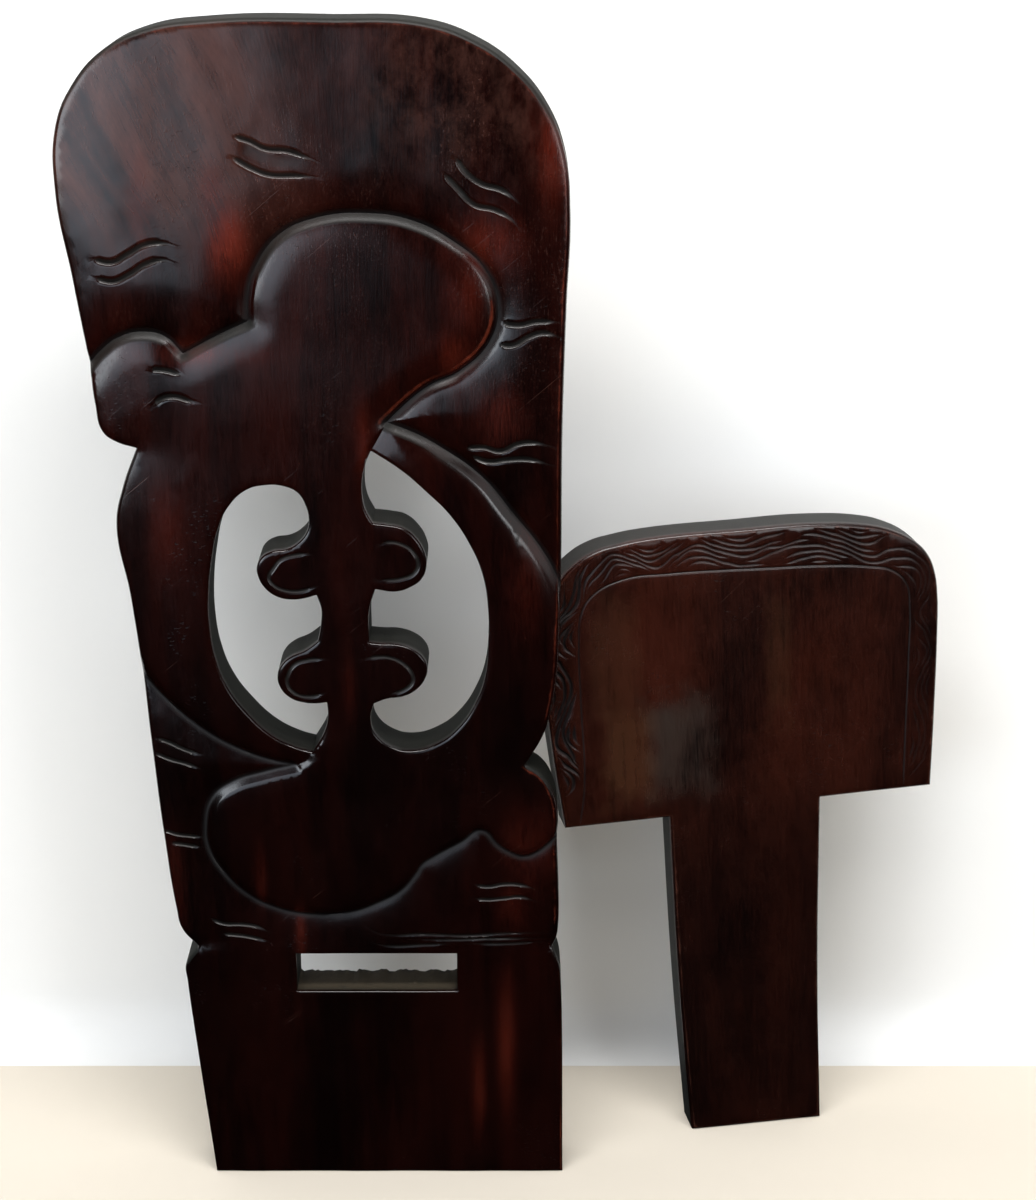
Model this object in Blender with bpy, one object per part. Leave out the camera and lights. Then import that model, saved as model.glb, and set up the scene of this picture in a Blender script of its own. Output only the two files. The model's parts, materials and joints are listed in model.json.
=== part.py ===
"""Two-plank chair that slots together, standing taken apart: a carved back board and a T-shaped seat board."""

import math

import bmesh
import bpy
from mathutils import Vector
from mathutils.geometry import interpolate_bezier

# Back board, standing on its foot with the carved front face towards -Y; all sizes are in metres
BOARD_THICKNESS = 0.043
BOARD_EDGE_ROUND = 0.004
FOOT_WIDTH = 0.307
PLINTH_HEIGHT = 0.222
GROUND_DEPTH = 0.0075
GROUND_WIDTH = 0.060
PILLOW_WIDTH = 0.009

# Seat board, drawn upright on its foot like the back board
SEAT_THICKNESS = 0.034
SEAT_EDGE_ROUND = 0.004
TONGUE_LENGTH = 0.320
TONGUE_FOOT_WIDTH = 0.1215
TONGUE_SHOULDER_WIDTH = 0.136
TONGUE_BOW = 0.002
TONGUE_OFFSET = -0.0025

# Slot in the plinth that takes the tongue
SLOT_CLEARANCE = 0.001
SLOT_SILL = 0.180
SLOT_OFFSET = -0.0075

# How the loose seat board stands, its near edge reaching a little way behind the back board's right edge
SEAT_OVERLAP = 0.0233
SEAT_YAW = math.radians(10.3)
SEAT_LEAN = math.radians(3.3)
SEAT_GAP = 0.0005

SMOOTH = "AUTO"
CORNER = "VECTOR"

# Outlines on the front face: x from the middle of the foot, height above the plinth's top edge
BOARD_OUTLINE = [
    (-0.1610, 0.0000, CORNER), (-0.1740, 0.0160, SMOOTH), (-0.1780, 0.0360, SMOOTH), (-0.1850, 0.1030, SMOOTH),
    (-0.1920, 0.1980, SMOOTH), (-0.1960, 0.2530, SMOOTH), (-0.2020, 0.3180, SMOOTH), (-0.2100, 0.3810, SMOOTH),
    (-0.2030, 0.4110, SMOOTH), (-0.1905, 0.4430, CORNER), (-0.2060, 0.4480, SMOOTH), (-0.2165, 0.4560, SMOOTH),
    (-0.2215, 0.4800, SMOOTH), (-0.2245, 0.5110, SMOOTH), (-0.2330, 0.5780, SMOOTH), (-0.2425, 0.6480, SMOOTH),
    (-0.2390, 0.6980, SMOOTH), (-0.2250, 0.7280, SMOOTH), (-0.2010, 0.7540, SMOOTH), (-0.1680, 0.7700, SMOOTH),
    (-0.1200, 0.7770, SMOOTH), (-0.0300, 0.7780, SMOOTH), (0.0450, 0.7745, SMOOTH), (0.0830, 0.7610, SMOOTH),
    (0.1130, 0.7400, SMOOTH), (0.1360, 0.7120, SMOOTH), (0.1500, 0.6780, SMOOTH), (0.1545, 0.6330, SMOOTH),
    (0.1520, 0.5580, SMOOTH), (0.1495, 0.4580, SMOOTH), (0.1490, 0.3380, SMOOTH), (0.1480, 0.2830, SMOOTH),
    (0.1450, 0.2380, SMOOTH), (0.1360, 0.1980, SMOOTH), (0.1205, 0.1690, CORNER), (0.1330, 0.1610, SMOOTH),
    (0.1425, 0.1460, SMOOTH), (0.1475, 0.1230, SMOOTH), (0.1470, 0.1000, SMOOTH), (0.1485, 0.0580, SMOOTH),
    (0.1485, 0.0200, SMOOTH), (0.1470, 0.0080, SMOOTH), (0.1435, 0.0000, CORNER),
]

# Shoulders of the plinth just below its notches: x, drop below the plinth's top edge
PLINTH_RIGHT = [(0.1490, 0.0160, SMOOTH), (0.1510, 0.0340, SMOOTH)]
PLINTH_LEFT = [(-0.1710, 0.0320, SMOOTH), (-0.1715, 0.0160, SMOOTH)]

LEFT_OPENING = [
    (-0.0570, 0.1810, CORNER), (-0.0700, 0.1850, SMOOTH), (-0.0900, 0.1960, SMOOTH), (-0.1100, 0.2160, SMOOTH),
    (-0.1250, 0.2380, SMOOTH), (-0.1340, 0.2630, SMOOTH), (-0.1380, 0.2930, SMOOTH), (-0.1375, 0.3230, SMOOTH),
    (-0.1340, 0.3500, SMOOTH), (-0.1280, 0.3760, SMOOTH), (-0.1180, 0.3960, SMOOTH), (-0.1040, 0.4090, SMOOTH),
    (-0.0900, 0.4130, SMOOTH), (-0.0750, 0.4125, SMOOTH), (-0.0630, 0.4070, SMOOTH), (-0.0570, 0.3970, SMOOTH),
    (-0.0545, 0.3860, SMOOTH), (-0.0560, 0.3750, SMOOTH), (-0.0630, 0.3655, SMOOTH), (-0.0730, 0.3595, SMOOTH),
    (-0.0850, 0.3575, SMOOTH), (-0.0930, 0.3530, SMOOTH), (-0.0975, 0.3450, SMOOTH), (-0.0970, 0.3360, SMOOTH),
    (-0.0910, 0.3250, SMOOTH), (-0.0810, 0.3180, SMOOTH), (-0.0700, 0.3160, SMOOTH), (-0.0580, 0.3175, SMOOTH),
    (-0.0500, 0.3200, CORNER), (-0.0465, 0.3080, SMOOTH), (-0.0470, 0.2960, SMOOTH), (-0.0500, 0.2800, CORNER),
    (-0.0600, 0.2725, SMOOTH), (-0.0720, 0.2670, SMOOTH), (-0.0800, 0.2600, SMOOTH), (-0.0840, 0.2500, SMOOTH),
    (-0.0820, 0.2390, SMOOTH), (-0.0750, 0.2305, SMOOTH), (-0.0640, 0.2260, SMOOTH), (-0.0530, 0.2250, SMOOTH),
    (-0.0440, 0.2260, CORNER), (-0.0435, 0.2140, SMOOTH), (-0.0470, 0.1990, SMOOTH),
]

RIGHT_OPENING = [
    (-0.0035, 0.4410, CORNER), (0.0200, 0.4260, SMOOTH), (0.0400, 0.4080, SMOOTH), (0.0600, 0.3870, SMOOTH),
    (0.0750, 0.3630, SMOOTH), (0.0850, 0.3380, SMOOTH), (0.0895, 0.3080, SMOOTH), (0.0895, 0.2780, SMOOTH),
    (0.0870, 0.2500, SMOOTH), (0.0790, 0.2260, SMOOTH), (0.0650, 0.2040, SMOOTH), (0.0480, 0.1900, SMOOTH),
    (0.0250, 0.1830, SMOOTH), (0.0080, 0.1870, SMOOTH), (-0.0050, 0.1990, SMOOTH), (-0.0080, 0.2120, SMOOTH),
    (-0.0050, 0.2250, CORNER), (0.0050, 0.2290, SMOOTH), (0.0200, 0.2315, SMOOTH), (0.0310, 0.2380, SMOOTH),
    (0.0380, 0.2480, SMOOTH), (0.0395, 0.2570, SMOOTH), (0.0360, 0.2660, SMOOTH), (0.0280, 0.2730, SMOOTH),
    (0.0150, 0.2775, SMOOTH), (0.0020, 0.2780, SMOOTH), (-0.0080, 0.2790, CORNER), (-0.0070, 0.3080, SMOOTH),
    (-0.0020, 0.3250, CORNER), (0.0150, 0.3230, SMOOTH), (0.0270, 0.3270, SMOOTH), (0.0360, 0.3340, SMOOTH),
    (0.0400, 0.3460, SMOOTH), (0.0390, 0.3550, SMOOTH), (0.0330, 0.3670, SMOOTH), (0.0220, 0.3770, SMOOTH),
    (0.0100, 0.3800, SMOOTH), (-0.0030, 0.3815, CORNER), (-0.0090, 0.3940, SMOOTH), (-0.0110, 0.4120, SMOOTH),
    (-0.0080, 0.4300, SMOOTH),
]

# Edges of the raised carving: upper arm, head and right crescent, then lower arm, head and left crescent
UPPER_CONTOUR = [
    (-0.2400, 0.4900, CORNER), (-0.2245, 0.5115, SMOOTH), (-0.2140, 0.5230, SMOOTH), (-0.2000, 0.5330, SMOOTH),
    (-0.1820, 0.5375, SMOOTH), (-0.1640, 0.5340, SMOOTH), (-0.1500, 0.5200, CORNER), (-0.1250, 0.5335, SMOOTH),
    (-0.0980, 0.5460, CORNER), (-0.0970, 0.5680, SMOOTH), (-0.0900, 0.5900, SMOOTH), (-0.0710, 0.6145, SMOOTH),
    (-0.0420, 0.6275, SMOOTH), (-0.0040, 0.6310, SMOOTH), (0.0315, 0.6255, SMOOTH), (0.0640, 0.6090, SMOOTH),
    (0.0880, 0.5875, SMOOTH), (0.0980, 0.5610, SMOOTH), (0.0930, 0.5320, SMOOTH), (0.0690, 0.5065, SMOOTH),
    (0.0420, 0.4930, SMOOTH), (0.0180, 0.4727, SMOOTH), (0.0095, 0.4640, CORNER), (0.0300, 0.4560, SMOOTH),
    (0.0500, 0.4450, SMOOTH), (0.0860, 0.4180, SMOOTH), (0.1100, 0.3880, SMOOTH), (0.1340, 0.3560, SMOOTH),
    (0.1470, 0.3300, SMOOTH), (0.1580, 0.2980, CORNER),
]
LOWER_CONTOUR = [
    (0.1600, 0.1180, CORNER), (0.1470, 0.1030, SMOOTH), (0.1380, 0.0937, SMOOTH), (0.1280, 0.0866, SMOOTH),
    (0.1190, 0.0840, SMOOTH), (0.1070, 0.0880, SMOOTH), (0.0970, 0.0950, SMOOTH), (0.0830, 0.1085, CORNER),
    (0.0660, 0.0980, SMOOTH), (0.0426, 0.0840, SMOOTH), (0.0330, 0.0770, SMOOTH), (0.0270, 0.0675, SMOOTH),
    (0.0140, 0.0520, SMOOTH), (-0.0050, 0.0410, SMOOTH), (-0.0290, 0.0320, SMOOTH), (-0.0620, 0.0300, SMOOTH),
    (-0.0930, 0.0366, SMOOTH), (-0.1170, 0.0497, SMOOTH), (-0.1360, 0.0700, SMOOTH), (-0.1480, 0.0937, SMOOTH),
    (-0.1495, 0.1130, SMOOTH), (-0.1420, 0.1400, SMOOTH), (-0.1260, 0.1530, SMOOTH), (-0.0980, 0.1625, SMOOTH),
    (-0.0720, 0.1690, CORNER), (-0.0910, 0.1730, SMOOTH), (-0.1190, 0.1835, SMOOTH), (-0.1480, 0.2010, SMOOTH),
    (-0.1760, 0.2260, SMOOTH), (-0.1940, 0.2480, SMOOTH), (-0.2100, 0.2750, CORNER),
]

# Panel of the seat board: x from the middle of its foot, height above the tongue's shoulder
SEAT_PANEL = [
    (0.1665, -0.0020, CORNER), (0.1700, 0.0650, SMOOTH), (0.1730, 0.1450, SMOOTH), (0.1730, 0.1760, SMOOTH),
    (0.1705, 0.1970, SMOOTH), (0.1640, 0.2140, SMOOTH), (0.1520, 0.2275, SMOOTH), (0.1300, 0.2405, SMOOTH),
    (0.1120, 0.2465, SMOOTH), (0.0690, 0.2530, SMOOTH), (0.0000, 0.2555, SMOOTH), (-0.0820, 0.2565, SMOOTH),
    (-0.1040, 0.2545, SMOOTH), (-0.1250, 0.2505, SMOOTH), (-0.1430, 0.2415, SMOOTH), (-0.1580, 0.2265, SMOOTH),
    (-0.1690, 0.2035, SMOOTH), (-0.1745, 0.1720, SMOOTH), (-0.1740, 0.1300, SMOOTH), (-0.1700, 0.0680, SMOOTH),
    (-0.1630, 0.0020, CORNER),
]

# Fineness of the faceted forms
EDGE_STEPS = 3
OPENING_STEPS = 2
CONTOUR_STEPS = 2
EDGE_RINGS = 1
GROUND_CELL = 0.032
GROUND_ROUNDS = 4
CUTTER_MARGIN = 0.030
CUTTER_LIFT = 0.0015
WELD = 0.00001

# Wall of the sunk ground: height up the wall and how far it leans over the carving there
PILLOW_RINGS = [(0.0, 0.0), (0.45, 0.11), (0.80, 0.40), (1.0, 0.95)]


def clear_scene():
    for old in list(bpy.data.objects):
        bpy.data.objects.remove(old, do_unlink=True)


def new_collection(name):
    collection = bpy.data.collections.new(name)
    bpy.context.scene.collection.children.link(collection)
    return collection


def wood(name, colour, roughness):
    material = bpy.data.materials.new(name)
    material.use_nodes = True
    shader = material.node_tree.nodes["Principled BSDF"]
    shader.inputs["Base Color"].default_value = (*colour, 1.0)
    shader.inputs["Roughness"].default_value = roughness
    shader.inputs["Metallic"].default_value = 0.0
    return material


def add_outline(curve, points, steps):
    """Add one closed outline, through its points, to a flat curve."""
    spline = curve.splines.new("BEZIER")
    spline.bezier_points.add(len(points) - 1)
    for knot, (x, height, kind) in zip(spline.bezier_points, points):
        knot.co = (x, height, 0.0)
        knot.handle_left_type = kind
        knot.handle_right_type = kind
    spline.use_cyclic_u = True
    spline.resolution_u = steps
    return spline


def flat_curve(name, outlines, thickness, edge_round=0.0):
    """A filled, extruded 2D curve standing upright, its face towards -Y and its edges rounded."""
    curve = bpy.data.curves.new(name, "CURVE")
    curve.dimensions = "2D"
    curve.fill_mode = "BOTH"
    curve.extrude = thickness / 2 - edge_round
    curve.bevel_depth = edge_round
    curve.bevel_resolution = EDGE_RINGS
    curve.offset = -edge_round
    for points, steps in outlines:
        add_outline(curve, points, steps)
    standing = bpy.data.objects.new(name, curve)
    standing.rotation_euler = (math.pi / 2, 0.0, 0.0)
    bpy.context.scene.collection.objects.link(standing)
    bpy.context.view_layer.update()
    return standing


def curve_to_mesh(standing, collection):
    """Turn a curve object into a welded mesh object of the same name and place."""
    name = standing.name
    graph = bpy.context.evaluated_depsgraph_get()
    mesh = bpy.data.meshes.new_from_object(standing.evaluated_get(graph))
    shape = bmesh.new()
    shape.from_mesh(mesh)
    bmesh.ops.remove_doubles(shape, verts=shape.verts, dist=WELD)
    bmesh.ops.recalc_face_normals(shape, faces=shape.faces)
    shape.to_mesh(mesh)
    shape.free()
    place = standing.matrix_world.copy()
    bpy.data.objects.remove(standing, do_unlink=True)
    solid = bpy.data.objects.new(name, mesh)
    solid.matrix_world = place
    collection.objects.link(solid)
    return solid


def lifted(points):
    """Heights above the plinth turned into heights above the floor."""
    return [(x, PLINTH_HEIGHT + height, kind) for x, height, kind in points]


def board_outline():
    plinth_right = [(x, PLINTH_HEIGHT - drop, kind) for x, drop, kind in PLINTH_RIGHT]
    plinth_left = [(x, PLINTH_HEIGHT - drop, kind) for x, drop, kind in PLINTH_LEFT]
    foot = [(FOOT_WIDTH / 2, 0.0, CORNER), (-FOOT_WIDTH / 2, 0.0, CORNER)]
    return lifted(BOARD_OUTLINE) + plinth_right + foot + plinth_left


def contour_samples(spline, count):
    """Points along the first count knots of an outline, as the curve itself is divided."""
    samples = []
    knots = spline.bezier_points
    for start, end in zip(knots[:count - 1], knots[1:count]):
        samples += interpolate_bezier(start.co, start.handle_right, end.handle_left, end.co, CONTOUR_STEPS + 1)
    return samples


def ground_depth(distance):
    """How deep the ground lies at a distance from the carving: deepest beside it, rising softly to the face."""
    rise = 1 - distance / GROUND_WIDTH
    return max(GROUND_DEPTH * rise * abs(rise), -CUTTER_LIFT / 2)


def floor_faces(shape, level):
    return [face for face in shape.faces if all(abs(corner.co.z - level) < WELD for corner in face.verts)]


def refine_floor(shape, level):
    """Divide the inner edges of the flat floor of a cutter until hardly any is longer than a ground cell."""
    for _ in range(GROUND_ROUNDS):
        floor = set(floor_faces(shape, level))
        long_edges = [
            edge for edge in shape.edges
            if edge.calc_length() > GROUND_CELL and all(face in floor for face in edge.link_faces)
        ]
        bmesh.ops.subdivide_edges(shape, edges=long_edges, cuts=1)
        bmesh.ops.triangulate(shape, faces=floor_faces(shape, level))
        floor = floor_faces(shape, level)
        inner = [edge for edge in shape.edges if all(face in floor for face in edge.link_faces)]
        bmesh.ops.beautify_fill(shape, faces=floor, edges=inner)


def frame_round(contour, left, right, far):
    """The rest of a cutter's outline, outside the plank, from the contour's end back to its start."""
    start_x, start_height, _ = contour[0]
    end_x, end_height, _ = contour[-1]
    start_side, end_side = (left, right) if start_x < end_x else (right, left)
    corners = [(end_side, end_height), (end_side, far), (start_side, far), (start_side, start_height)]
    return [(x, height, CORNER) for x, height in corners]


def ground_cutter(name, contour, frame, collection):
    """The hollow of the sunk ground beside one contour, as a solid that is cut out of the plank."""
    standing = flat_curve(name, [(lifted(contour + frame), CONTOUR_STEPS)], GROUND_DEPTH)
    beside = contour_samples(standing.data.splines[0], len(contour))
    cutter = curve_to_mesh(standing, collection)
    shape = bmesh.new()
    shape.from_mesh(cutter.data)
    refine_floor(shape, -GROUND_DEPTH / 2)
    walls = [edge for edge in shape.edges if abs(edge.verts[0].co.z - edge.verts[1].co.z) > GROUND_DEPTH / 2]
    bmesh.ops.subdivide_edges(shape, edges=walls, cuts=len(PILLOW_RINGS) - 2)
    shape.normal_update()
    face_level = BOARD_THICKNESS / 2
    moved = {}
    for corner in shape.verts:
        spot = Vector((corner.co.x, corner.co.y, 0.0))
        ring = round((corner.co.z / GROUND_DEPTH + 0.5) * (len(PILLOW_RINGS) - 1))
        depth = ground_depth(min((spot - point).length for point in beside))
        outward = Vector((0.0, 0.0, 0.0))
        for face in corner.link_faces:
            if abs(face.normal.z) < 0.5:
                outward += face.normal
        height, lean = PILLOW_RINGS[ring]
        if outward.length > 0:
            spot += outward.normalized() * lean * PILLOW_WIDTH
        spot.z = face_level - depth + height * (depth + CUTTER_LIFT)
        moved[corner] = spot
    for corner, spot in moved.items():
        corner.co = spot
    shape.to_mesh(cutter.data)
    shape.free()
    return cutter


def slot_cutter(collection):
    shape = bmesh.new()
    bmesh.ops.create_cube(shape, size=1.0)
    width = TONGUE_SHOULDER_WIDTH + 2 * SLOT_CLEARANCE
    height = SEAT_THICKNESS + 2 * SLOT_CLEARANCE
    bmesh.ops.scale(shape, verts=shape.verts, vec=(width, BOARD_THICKNESS + CUTTER_MARGIN, height))
    mesh = bpy.data.meshes.new("slot_cutter")
    shape.to_mesh(mesh)
    shape.free()
    cutter = bpy.data.objects.new("slot_cutter", mesh)
    cutter.location = (SLOT_OFFSET, 0.0, SLOT_SILL + height / 2)
    collection.objects.link(cutter)
    return cutter


def cut(solid, cutter):
    cutter.hide_render = True
    cutter.display_type = "WIRE"
    boolean = solid.modifiers.new(cutter.name, "BOOLEAN")
    boolean.operation = "DIFFERENCE"
    boolean.solver = "EXACT"
    boolean.object = cutter


def make_back_board(parts, cutters):
    outlines = [
        (board_outline(), EDGE_STEPS),
        (lifted(LEFT_OPENING), OPENING_STEPS),
        (lifted(RIGHT_OPENING), OPENING_STEPS),
    ]
    board = curve_to_mesh(flat_curve("back_board", outlines, BOARD_THICKNESS, BOARD_EDGE_ROUND), parts)
    left = min(x for x, height, kind in BOARD_OUTLINE) - CUTTER_MARGIN
    right = max(x for x, height, kind in BOARD_OUTLINE) + CUTTER_MARGIN
    top = max(height for x, height, kind in BOARD_OUTLINE) + CUTTER_MARGIN
    upper_frame = frame_round(UPPER_CONTOUR, left, right, top)
    lower_frame = frame_round(LOWER_CONTOUR, left, right, 0.0)
    cut(board, ground_cutter("upper_ground_cutter", UPPER_CONTOUR, upper_frame, cutters))
    cut(board, ground_cutter("lower_ground_cutter", LOWER_CONTOUR, lower_frame, cutters))
    cut(board, slot_cutter(cutters))
    return board


def seat_outline():
    """The T of the seat board, its foot cut so that it stands flat on the floor while the board leans."""
    foot = TONGUE_FOOT_WIDTH / 2
    rise = foot * math.tan(SEAT_LEAN)
    shoulder_right = TONGUE_OFFSET + TONGUE_SHOULDER_WIDTH / 2
    shoulder_left = TONGUE_OFFSET - TONGUE_SHOULDER_WIDTH / 2
    middle = TONGUE_LENGTH / 2
    panel = [(x, TONGUE_LENGTH + height, kind) for x, height, kind in SEAT_PANEL]
    tongue_right = [
        (foot, -rise, CORNER), ((foot + shoulder_right) / 2 - TONGUE_BOW, middle, SMOOTH),
        (shoulder_right, TONGUE_LENGTH, CORNER),
    ]
    tongue_left = [
        (shoulder_left, TONGUE_LENGTH, CORNER), ((shoulder_left - foot) / 2 - TONGUE_BOW, middle, SMOOTH),
        (-foot, rise, CORNER),
    ]
    return tongue_right + panel + tongue_left


def make_seat_board(parts):
    outline = seat_outline()
    seat = curve_to_mesh(flat_curve("seat_board", [(outline, EDGE_STEPS)], SEAT_THICKNESS, SEAT_EDGE_ROUND), parts)
    seat.data.transform(seat.matrix_world)
    seat.rotation_euler = (0.0, -SEAT_LEAN, SEAT_YAW)
    reach = max(height * math.sin(SEAT_LEAN) - x * math.cos(SEAT_LEAN) for x, height, kind in outline)
    stand_off = (reach - SEAT_EDGE_ROUND) * math.sin(SEAT_YAW)
    stand_off += (SEAT_THICKNESS / 2 - SEAT_EDGE_ROUND) * math.cos(SEAT_YAW) + SEAT_EDGE_ROUND
    board_right = max(x for x, height, kind in BOARD_OUTLINE)
    foot_x = board_right - SEAT_OVERLAP + reach * math.cos(SEAT_YAW)
    seat.location = (foot_x, BOARD_THICKNESS / 2 + SEAT_GAP + stand_off, 0.0)
    return seat


def main():
    clear_scene()
    parts = new_collection("slot_together_chair")
    cutters = new_collection("cutters")
    board = make_back_board(parts, cutters)
    seat = make_seat_board(parts)
    board.data.materials.append(wood("back_board_wood", (0.055, 0.018, 0.012), 0.35))
    seat.data.materials.append(wood("seat_board_wood", (0.060, 0.025, 0.018), 0.42))


main()
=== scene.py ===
# %% [markdown]
# # A two-plank chair, standing taken apart
#
# The chair is two planks and nothing else: a tall carved back board with a slot in its foot, and a T-shaped
# seat board whose tongue goes through that slot. This lesson dresses the imported model: it carves a fine
# skin for each board, finishes both in polished dark wood, and sets the floor, the lights and the camera.
#
# The imported model is loaded first. It fixes where everything stands.

# %% Load the imported frame
import json
import math

import bmesh
import bpy
import numpy as np
from mathutils import Euler, Matrix, Vector, noise
from mathutils.geometry import delaunay_2d_cdt, interpolate_bezier
from mathutils.kdtree import KDTree


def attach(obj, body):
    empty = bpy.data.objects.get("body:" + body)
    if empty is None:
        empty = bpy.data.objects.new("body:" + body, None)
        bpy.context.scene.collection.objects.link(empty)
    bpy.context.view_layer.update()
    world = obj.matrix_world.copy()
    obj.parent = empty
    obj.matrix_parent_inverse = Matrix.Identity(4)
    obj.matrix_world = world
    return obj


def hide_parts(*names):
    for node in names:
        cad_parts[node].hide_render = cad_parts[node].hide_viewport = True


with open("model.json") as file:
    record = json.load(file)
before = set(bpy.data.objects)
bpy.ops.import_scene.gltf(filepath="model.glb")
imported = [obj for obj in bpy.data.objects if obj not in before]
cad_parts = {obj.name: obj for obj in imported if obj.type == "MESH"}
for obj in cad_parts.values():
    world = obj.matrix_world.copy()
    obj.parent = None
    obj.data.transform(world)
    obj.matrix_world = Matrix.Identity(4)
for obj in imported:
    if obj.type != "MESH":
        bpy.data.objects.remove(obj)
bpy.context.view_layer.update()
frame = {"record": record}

scene = bpy.context.scene

# %% [markdown]
# ## The outlines
#
# Both boards are flat planks, so each starts as a drawing on its front face. The points are the ones that
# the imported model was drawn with, in millimetres: x from the middle of the foot, then the height. Knots are
# smooth unless they are marked as corners, where two cuts meet. Heights on the back board count from the
# top of its plinth, and on the seat panel from the shoulder of the tongue.

# %% Sizes and outlines of the two boards
MM = 0.001
BOARD_THICKNESS = 0.043
FOOT_WIDTH = 0.307
PLINTH_HEIGHT = 0.222
SLOT_WIDTH = 0.138
SLOT_HEIGHT = 0.036
SLOT_SILL = 0.180
SLOT_OFFSET = -0.0075
SEAT_THICKNESS = 0.034
TONGUE_LENGTH = 0.320
TONGUE_FOOT_WIDTH = 0.1215
TONGUE_SHOULDER_WIDTH = 0.136
TONGUE_BOW = 0.002
TONGUE_OFFSET = -0.0025
SEAT_YAW = math.radians(10.3)
SEAT_LEAN = math.radians(3.3)

SMOOTH = "AUTO"
CORNER = "VECTOR"

# The back board, with the shoulders of its plinth just below the notches
BOARD_OUTLINE = [
    (-161, 0, CORNER), (-174, 16), (-178, 36), (-185, 103), (-192, 198), (-196, 253), (-202, 318),
    (-210, 381), (-203, 411), (-190.5, 443, CORNER), (-206, 448), (-216.5, 456), (-221.5, 480),
    (-224.5, 511), (-233, 578), (-242.5, 648), (-239, 698), (-225, 728), (-201, 754), (-168, 770),
    (-120, 777), (-30, 778), (45, 774.5), (83, 761), (113, 740), (136, 712), (150, 678), (154.5, 633),
    (152, 558), (149.5, 458), (149, 338), (148, 283), (145, 238), (136, 198), (120.5, 169, CORNER),
    (133, 161), (142.5, 146), (147.5, 123), (147, 100), (148.5, 58), (148.5, 20), (147, 8),
    (143.5, 0, CORNER),
]
PLINTH_RIGHT = [(149, -16), (151, -34)]
PLINTH_LEFT = [(-171, -32), (-171.5, -16)]

LEFT_OPENING = [
    (-57, 181, CORNER), (-70, 185), (-90, 196), (-110, 216), (-125, 238), (-134, 263), (-138, 293),
    (-137.5, 323), (-134, 350), (-128, 376), (-118, 396), (-104, 409), (-90, 413), (-75, 412.5), (-63, 407),
    (-57, 397), (-54.5, 386), (-56, 375), (-63, 365.5), (-73, 359.5), (-85, 357.5), (-93, 353),
    (-97.5, 345), (-97, 336), (-91, 325), (-81, 318), (-70, 316), (-58, 317.5), (-50, 320, CORNER),
    (-46.5, 308), (-47, 296), (-50, 280, CORNER), (-60, 272.5), (-72, 267), (-80, 260), (-84, 250),
    (-82, 239), (-75, 230.5), (-64, 226), (-53, 225), (-44, 226, CORNER), (-43.5, 214), (-47, 199),
]

RIGHT_OPENING = [
    (-3.5, 441, CORNER), (20, 426), (40, 408), (60, 387), (75, 363), (85, 338), (89.5, 308), (89.5, 278),
    (87, 250), (79, 226), (65, 204), (48, 190), (25, 183), (8, 187), (-5, 199), (-8, 212),
    (-5, 225, CORNER), (5, 229), (20, 231.5), (31, 238), (38, 248), (39.5, 257), (36, 266), (28, 273),
    (15, 277.5), (2, 278), (-8, 279, CORNER), (-7, 308), (-2, 325, CORNER), (15, 323), (27, 327), (36, 334),
    (40, 346), (39, 355), (33, 367), (22, 377), (10, 380), (-3, 381.5, CORNER), (-9, 394), (-11, 412),
    (-8, 430),
]

# Edges of the raised carving: upper arm, head and right crescent, then lower arm, head and left crescent
UPPER_CONTOUR = [
    (-240, 490, CORNER), (-224.5, 511.5), (-214, 523), (-200, 533), (-182, 537.5), (-164, 534),
    (-150, 520, CORNER), (-125, 533.5), (-98, 546, CORNER), (-97, 568), (-90, 590), (-71, 614.5),
    (-42, 627.5), (-4, 631), (31.5, 625.5), (64, 609), (88, 587.5), (98, 561), (93, 532), (69, 506.5),
    (42, 493), (18, 472.7), (9.5, 464, CORNER), (30, 456), (50, 445), (86, 418), (110, 388), (134, 356),
    (147, 330), (158, 298, CORNER),
]
LOWER_CONTOUR = [
    (160, 118, CORNER), (147, 103), (138, 93.7), (128, 86.6), (119, 84), (107, 88), (97, 95), (83, 108.5),
    (66, 98), (42.6, 84), (33, 77), (27, 67.5), (14, 52), (-5, 41), (-29, 32), (-62, 30), (-93, 36.6),
    (-117, 49.7), (-136, 70), (-148, 93.7), (-149.5, 113), (-142, 140), (-126, 153), (-98, 162.5),
    (-72, 169, CORNER), (-91, 173), (-119, 183.5), (-148, 201), (-176, 226), (-194, 248),
    (-210, 275, CORNER),
]

# Panel of the seat board
SEAT_PANEL = [
    (166.5, -2, CORNER), (170, 65), (173, 145), (173, 176), (170.5, 197), (164, 214), (152, 227.5),
    (130, 240.5), (112, 246.5), (69, 253), (0, 255.5), (-82, 256.5), (-104, 254.5), (-125, 250.5),
    (-143, 241.5), (-158, 226.5), (-169, 203.5), (-174.5, 172), (-174, 130), (-170, 68), (-163, 2, CORNER),
]

print(len(BOARD_OUTLINE), "knots outline the back board and", len(SEAT_PANEL), "the seat panel")

# %% [markdown]
# ## Drawing curves
#
# A hand-drawn outline is a Bezier curve. Blender works out the handles of smooth knots, and we read points
# off the curve. Every rounded edge and every groove is a matter of how far a spot is from the nearest line.
# A k-d tree finds the nearest point of a drawing quickly, and the two stretches beside that point give the
# exact distance.

# %% Reading points off a drawn curve
def in_metres(points, base=0.0):
    """Points listed in millimetres above a base, turned into metres."""
    return [(x * MM, base + height * MM, *kind) for x, height, *kind in points]


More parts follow.
